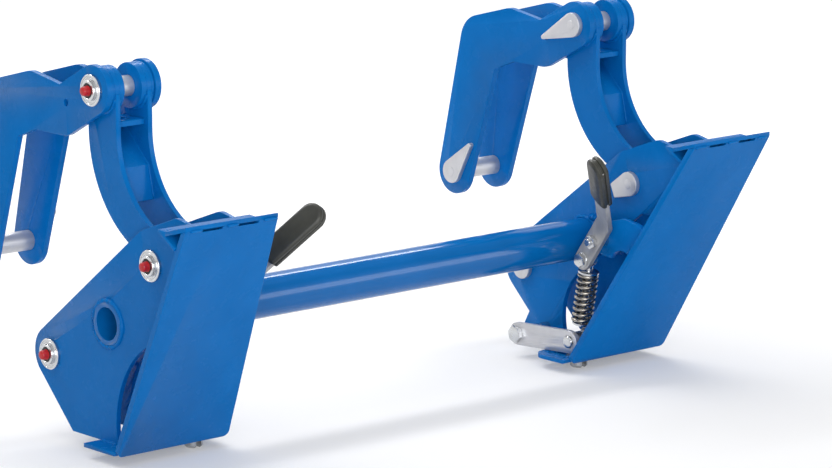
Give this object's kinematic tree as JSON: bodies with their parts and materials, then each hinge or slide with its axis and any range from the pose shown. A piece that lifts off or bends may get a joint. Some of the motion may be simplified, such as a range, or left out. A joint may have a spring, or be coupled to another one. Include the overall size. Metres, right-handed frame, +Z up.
{
  "type": "quick hitch frame",
  "caption": "Two leaning carrier plates on a cross tube, with spring-latched lock pins, hand levers, curved tilt links and hooked guide levers.",
  "frame": {"origin": "on the arm pins' common axis, midway between the two carriers", "axes": "+X to the right seen from behind, -Y to the front where attachments hang, +Z up"},
  "size_m": [1.128, 0.5977, 0.564],
  "materials": {
    "blue_paint": "gloss",
    "zinc_plate": "satin",
    "spring_steel": "satin",
    "rubber_grip": "matte",
    "red_cap": "gloss"
  },
  "bodies": {
    "frame": {"cross_tube": "blue_paint", "frame_pin_washers": "zinc_plate", "frame_grease_caps": "red_cap", "lever_pivot_bolts": "zinc_plate", "lever_pivot_nuts": "zinc_plate", "strap_pivot_bolts": "zinc_plate", "face_plate_left": "blue_paint", "top_flange_left": "blue_paint", "flange_brace_left": "blue_paint", "side_plate_outer_left": "blue_paint", "side_plate_inner_left": "blue_paint", "bottom_plate_left": "blue_paint", "latch_bracket_left": "blue_paint", "arm_pin_left": "zinc_plate", "link_pin_left": "zinc_plate", "face_plate_right": "blue_paint", "top_flange_right": "blue_paint", "flange_brace_right": "blue_paint", "side_plate_outer_right": "blue_paint", "side_plate_inner_right": "blue_paint", "bottom_plate_right": "blue_paint", "latch_bracket_right": "blue_paint", "arm_pin_right": "zinc_plate", "link_pin_right": "zinc_plate"},
    "tilt_link_left": {"link_plate_outer_left": "blue_paint", "link_plate_inner_left": "blue_paint", "link_bosses_left": "blue_paint", "link_web_left": "blue_paint"},
    "guide_lever_left": {"guide_plate_outer_left": "blue_paint", "guide_plate_inner_left": "blue_paint", "top_pin_left": "zinc_plate", "guide_pin_left": "zinc_plate", "guide_washers_left": "zinc_plate", "guide_caps_left": "red_cap"},
    "latch_lever_left": {"hand_lever_left": "zinc_plate", "lever_grip_left": "rubber_grip", "crank_bolt_left": "zinc_plate"},
    "latch_rod_left": {"latch_rod_left": "zinc_plate", "latch_spring_left": "spring_steel"},
    "lock_pin_left": {"lock_pin_left": "zinc_plate"},
    "latch_strap_left": {"latch_strap_left": "zinc_plate"},
    "tilt_link_right": {"link_plate_outer_right": "blue_paint", "link_plate_inner_right": "blue_paint", "link_bosses_right": "blue_paint", "link_web_right": "blue_paint"},
    "guide_lever_right": {"guide_plate_outer_right": "blue_paint", "guide_plate_inner_right": "blue_paint", "top_pin_right": "zinc_plate", "guide_pin_right": "zinc_plate", "guide_washers_right": "zinc_plate", "guide_caps_right": "red_cap"},
    "latch_lever_right": {"hand_lever_right": "zinc_plate", "lever_grip_right": "rubber_grip", "crank_bolt_right": "zinc_plate"},
    "latch_rod_right": {"latch_rod_right": "zinc_plate", "latch_spring_right": "spring_steel"},
    "lock_pin_right": {"lock_pin_right": "zinc_plate"},
    "latch_strap_right": {"latch_strap_right": "zinc_plate"}
  },
  "joints": [
    {"name": "tilt_link_left", "type": "hinge", "parent": "frame", "child": "tilt_link_left", "pos_m": [-0.463, -0.243, 0.169], "axis": [1, 0, 0], "range_deg": [-30, 40]},
    {"name": "tilt_link_right", "type": "hinge", "parent": "frame", "child": "tilt_link_right", "pos_m": [0.463, -0.243, 0.169], "axis": [1, 0, 0], "range_deg": [-30.05, 40.05]},
    {"name": "guide_lever_left", "type": "hinge", "parent": "tilt_link_left", "child": "guide_lever_left", "pos_m": [-0.463, -0.118, 0.402], "axis": [1, 0, 0], "range_deg": [-29.43, 22.07]},
    {"name": "guide_lever_right", "type": "hinge", "parent": "tilt_link_right", "child": "guide_lever_right", "pos_m": [0.463, -0.118, 0.402], "axis": [1, 0, 0], "range_deg": [-29.43, 22.07]},
    {"name": "latch_lever_left", "type": "hinge", "parent": "frame", "child": "latch_lever_left", "pos_m": [-0.38, -0.22, 0.082], "axis": [1, 0, 0], "range_deg": [-75, 0]},
    {"name": "latch_rod_left", "type": "hinge", "parent": "latch_lever_left", "child": "latch_rod_left", "pos_m": [-0.38, -0.19701, 0.05], "axis": [1, 0, 0], "range_deg": [-0.5, 97.25], "deforming": ["latch_spring_left"]},
    {"name": "lock_pin_left", "type": "slide", "parent": "frame", "child": "lock_pin_left", "axis": [0, 0, 1], "range_m": [0, 0.0201]},
    {"name": "latch_strap_left", "type": "hinge", "parent": "frame", "child": "latch_strap_left", "pos_m": [-0.364, -0.054, -0.091], "axis": [1, 0, 0], "range_deg": [-9.6, 0]},
    {"name": "latch_lever_right", "type": "hinge", "parent": "frame", "child": "latch_lever_right", "pos_m": [0.38, -0.22, 0.082], "axis": [1, 0, 0], "range_deg": [-75, 0]},
    {"name": "latch_rod_right", "type": "hinge", "parent": "latch_lever_right", "child": "latch_rod_right", "pos_m": [0.38, -0.19701, 0.05], "axis": [1, 0, 0], "range_deg": [-0.5, 97.25], "deforming": ["latch_spring_right"]},
    {"name": "lock_pin_right", "type": "slide", "parent": "frame", "child": "lock_pin_right", "axis": [0, 0, 1], "range_m": [0, 0.0201]},
    {"name": "latch_strap_right", "type": "hinge", "parent": "frame", "child": "latch_strap_right", "pos_m": [0.364, -0.054, -0.091], "axis": [1, 0, 0], "range_deg": [-9.6, 0]}
  ],
  "couplings": [
    {"joint": "tilt_link_right", "follows": "tilt_link_left", "ratio": 1},
    {"joint": "guide_lever_left", "follows": "tilt_link_left", "ratio": -0.735},
    {"joint": "guide_lever_right", "follows": "tilt_link_left", "ratio": -0.735},
    {"joint": "latch_rod_left", "follows": "latch_lever_left", "ratio": -1.29},
    {"joint": "lock_pin_left", "follows": "latch_lever_left", "m_per_rad": -0.015279},
    {"joint": "latch_strap_left", "follows": "latch_lever_left", "ratio": 0.1265},
    {"joint": "latch_rod_right", "follows": "latch_lever_right", "ratio": -1.29},
    {"joint": "lock_pin_right", "follows": "latch_lever_right", "m_per_rad": -0.015279},
    {"joint": "latch_strap_right", "follows": "latch_lever_right", "ratio": 0.1265}
  ]
}
